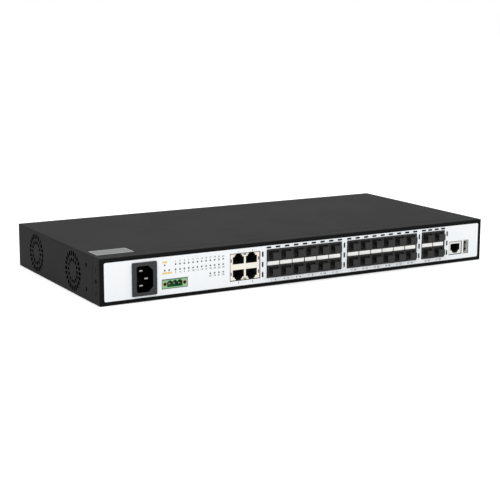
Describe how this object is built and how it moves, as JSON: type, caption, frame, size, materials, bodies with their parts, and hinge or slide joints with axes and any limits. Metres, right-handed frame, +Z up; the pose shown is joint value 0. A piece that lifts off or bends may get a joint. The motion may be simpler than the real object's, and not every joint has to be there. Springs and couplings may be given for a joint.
{
  "type": "rackmount network switch",
  "caption": "Rack network switch in a flat folded steel case, with optical bays under dust plugs, copper ports, a console port, a mains inlet and a supply header on its front.",
  "frame": {"origin": "middle of the flat underside that the case stands on", "axes": "+X along the front panel to the right, +Y from the front panel to the rear, +Z up"},
  "size_m": [0.44, 0.2174, 0.0441],
  "materials": {
    "black_paint": "fine textured powder coat",
    "black_cover": "fine textured powder coat",
    "white_film": "satin printed film",
    "silver_film": "satin printed film",
    "tinned_sheet": "satin",
    "bright_sheet": "bright",
    "nickel_sheet": "satin",
    "gold": "gold flashed",
    "black_plastic": "moulded",
    "plug_rubber": "soft moulded",
    "grey_plastic": "moulded",
    "tinned_pin": "bright",
    "green_plastic": "moulded",
    "brass": "turned",
    "clear_plastic": "moulded",
    "board_green": "solder mask",
    "board_tan": "paper laminate",
    "chip": "moulded",
    "aluminium": "anodised",
    "tape": "wound tape",
    "sleeve": "shrunk sleeve",
    "red_wire": "insulated wire",
    "black_steel": "black oxide"
  },
  "bodies": {
    "case": {"front_panel": "black_paint", "front_label": "white_film", "base_tray": "black_cover", "top_cover": "black_cover", "rating_label": "silver_film", "cage_shells": "tinned_sheet", "cage_dividers": "tinned_sheet", "cage_shelves": "tinned_sheet", "cage_septum_plates": "bright_sheet", "cage_connectors": "black_plastic", "jack_shields": "nickel_sheet", "jack_inserts": "black_plastic", "jack_contacts": "gold", "usb_shell": "nickel_sheet", "inlet_body": "grey_plastic", "inlet_pins": "tinned_pin", "header_body": "green_plastic", "header_inserts": "brass", "light_pipes": "clear_plastic", "light_pipe_holder": "black_plastic", "main_board": "board_green", "board_chips": "chip", "heatsinks": "aluminium", "supply_board": "board_tan", "supply_transformer": "tape", "supply_capacitors": "sleeve", "supply_heatsinks": "aluminium", "fan_frames": "black_plastic", "wiring": "red_wire", "screws": "black_steel"},
    "front_fan": {"front_fan_rotor": "black_plastic"},
    "rear_fan": {"rear_fan_rotor": "black_plastic"},
    "plug_01": {"dust_plug_01": "plug_rubber"},
    "plug_02": {"dust_plug_02": "plug_rubber"},
    "plug_03": {"dust_plug_03": "plug_rubber"},
    "plug_04": {"dust_plug_04": "plug_rubber"},
    "plug_05": {"dust_plug_05": "plug_rubber"},
    "plug_06": {"dust_plug_06": "plug_rubber"},
    "plug_07": {"dust_plug_07": "plug_rubber"},
    "plug_08": {"dust_plug_08": "plug_rubber"},
    "plug_09": {"dust_plug_09": "plug_rubber"},
    "plug_10": {"dust_plug_10": "plug_rubber"},
    "plug_11": {"dust_plug_11": "plug_rubber"},
    "plug_12": {"dust_plug_12": "plug_rubber"},
    "plug_13": {"dust_plug_13": "plug_rubber"},
    "plug_14": {"dust_plug_14": "plug_rubber"},
    "plug_15": {"dust_plug_15": "plug_rubber"},
    "plug_16": {"dust_plug_16": "plug_rubber"},
    "plug_17": {"dust_plug_17": "plug_rubber"},
    "plug_18": {"dust_plug_18": "plug_rubber"},
    "plug_19": {"dust_plug_19": "plug_rubber"},
    "plug_20": {"dust_plug_20": "plug_rubber"},
    "plug_21": {"dust_plug_21": "plug_rubber"},
    "plug_22": {"dust_plug_22": "plug_rubber"},
    "plug_23": {"dust_plug_23": "plug_rubber"},
    "plug_24": {"dust_plug_24": "plug_rubber"},
    "plug_25": {"dust_plug_25": "plug_rubber"},
    "plug_26": {"dust_plug_26": "plug_rubber"},
    "plug_27": {"dust_plug_27": "plug_rubber"},
    "plug_28": {"dust_plug_28": "plug_rubber"}
  },
  "joints": [
    {"name": "front_fan_spin", "type": "hinge", "parent": "case", "child": "front_fan", "pos_m": [-0.208, -0.042, 0.022], "axis": [1, 0, 0], "continuous": true},
    {"name": "rear_fan_spin", "type": "hinge", "parent": "case", "child": "rear_fan", "pos_m": [-0.208, 0.0544, 0.022], "axis": [1, 0, 0], "continuous": true},
    {"name": "plug_01_pull", "type": "slide", "parent": "case", "child": "plug_01", "axis": [0, -1, 0], "range_m": [0, 0.03]},
    {"name": "plug_02_pull", "type": "slide", "parent": "case", "child": "plug_02", "axis": [0, -1, 0], "range_m": [0, 0.03]},
    {"name": "plug_03_pull", "type": "slide", "parent": "case", "child": "plug_03", "axis": [0, -1, 0], "range_m": [0, 0.03]},
    {"name": "plug_04_pull", "type": "slide", "parent": "case", "child": "plug_04", "axis": [0, -1, 0], "range_m": [0, 0.03]},
    {"name": "plug_05_pull", "type": "slide", "parent": "case", "child": "plug_05", "axis": [0, -1, 0], "range_m": [0, 0.03]},
    {"name": "plug_06_pull", "type": "slide", "parent": "case", "child": "plug_06", "axis": [0, -1, 0], "range_m": [0, 0.03]},
    {"name": "plug_07_pull", "type": "slide", "parent": "case", "child": "plug_07", "axis": [0, -1, 0], "range_m": [0, 0.03]},
    {"name": "plug_08_pull", "type": "slide", "parent": "case", "child": "plug_08", "axis": [0, -1, 0], "range_m": [0, 0.03]},
    {"name": "plug_09_pull", "type": "slide", "parent": "case", "child": "plug_09", "axis": [0, -1, 0], "range_m": [0, 0.03]},
    {"name": "plug_10_pull", "type": "slide", "parent": "case", "child": "plug_10", "axis": [0, -1, 0], "range_m": [0, 0.03]},
    {"name": "plug_11_pull", "type": "slide", "parent": "case", "child": "plug_11", "axis": [0, -1, 0], "range_m": [0, 0.03]},
    {"name": "plug_12_pull", "type": "slide", "parent": "case", "child": "plug_12", "axis": [0, -1, 0], "range_m": [0, 0.03]},
    {"name": "plug_13_pull", "type": "slide", "parent": "case", "child": "plug_13", "axis": [0, -1, 0], "range_m": [0, 0.03]},
    {"name": "plug_14_pull", "type": "slide", "parent": "case", "child": "plug_14", "axis": [0, -1, 0], "range_m": [0, 0.03]},
    {"name": "plug_15_pull", "type": "slide", "parent": "case", "child": "plug_15", "axis": [0, -1, 0], "range_m": [0, 0.03]},
    {"name": "plug_16_pull", "type": "slide", "parent": "case", "child": "plug_16", "axis": [0, -1, 0], "range_m": [0, 0.03]},
    {"name": "plug_17_pull", "type": "slide", "parent": "case", "child": "plug_17", "axis": [0, -1, 0], "range_m": [0, 0.03]},
    {"name": "plug_18_pull", "type": "slide", "parent": "case", "child": "plug_18", "axis": [0, -1, 0], "range_m": [0, 0.03]},
    {"name": "plug_19_pull", "type": "slide", "parent": "case", "child": "plug_19", "axis": [0, -1, 0], "range_m": [0, 0.03]},
    {"name": "plug_20_pull", "type": "slide", "parent": "case", "child": "plug_20", "axis": [0, -1, 0], "range_m": [0, 0.03]},
    {"name": "plug_21_pull", "type": "slide", "parent": "case", "child": "plug_21", "axis": [0, -1, 0], "range_m": [0, 0.03]},
    {"name": "plug_22_pull", "type": "slide", "parent": "case", "child": "plug_22", "axis": [0, -1, 0], "range_m": [0, 0.03]},
    {"name": "plug_23_pull", "type": "slide", "parent": "case", "child": "plug_23", "axis": [0, -1, 0], "range_m": [0, 0.03]},
    {"name": "plug_24_pull", "type": "slide", "parent": "case", "child": "plug_24", "axis": [0, -1, 0], "range_m": [0, 0.03]},
    {"name": "plug_25_pull", "type": "slide", "parent": "case", "child": "plug_25", "axis": [0, -1, 0], "range_m": [0, 0.03]},
    {"name": "plug_26_pull", "type": "slide", "parent": "case", "child": "plug_26", "axis": [0, -1, 0], "range_m": [0, 0.03]},
    {"name": "plug_27_pull", "type": "slide", "parent": "case", "child": "plug_27", "axis": [0, -1, 0], "range_m": [0, 0.03]},
    {"name": "plug_28_pull", "type": "slide", "parent": "case", "child": "plug_28", "axis": [0, -1, 0], "range_m": [0, 0.03]}
  ]
}
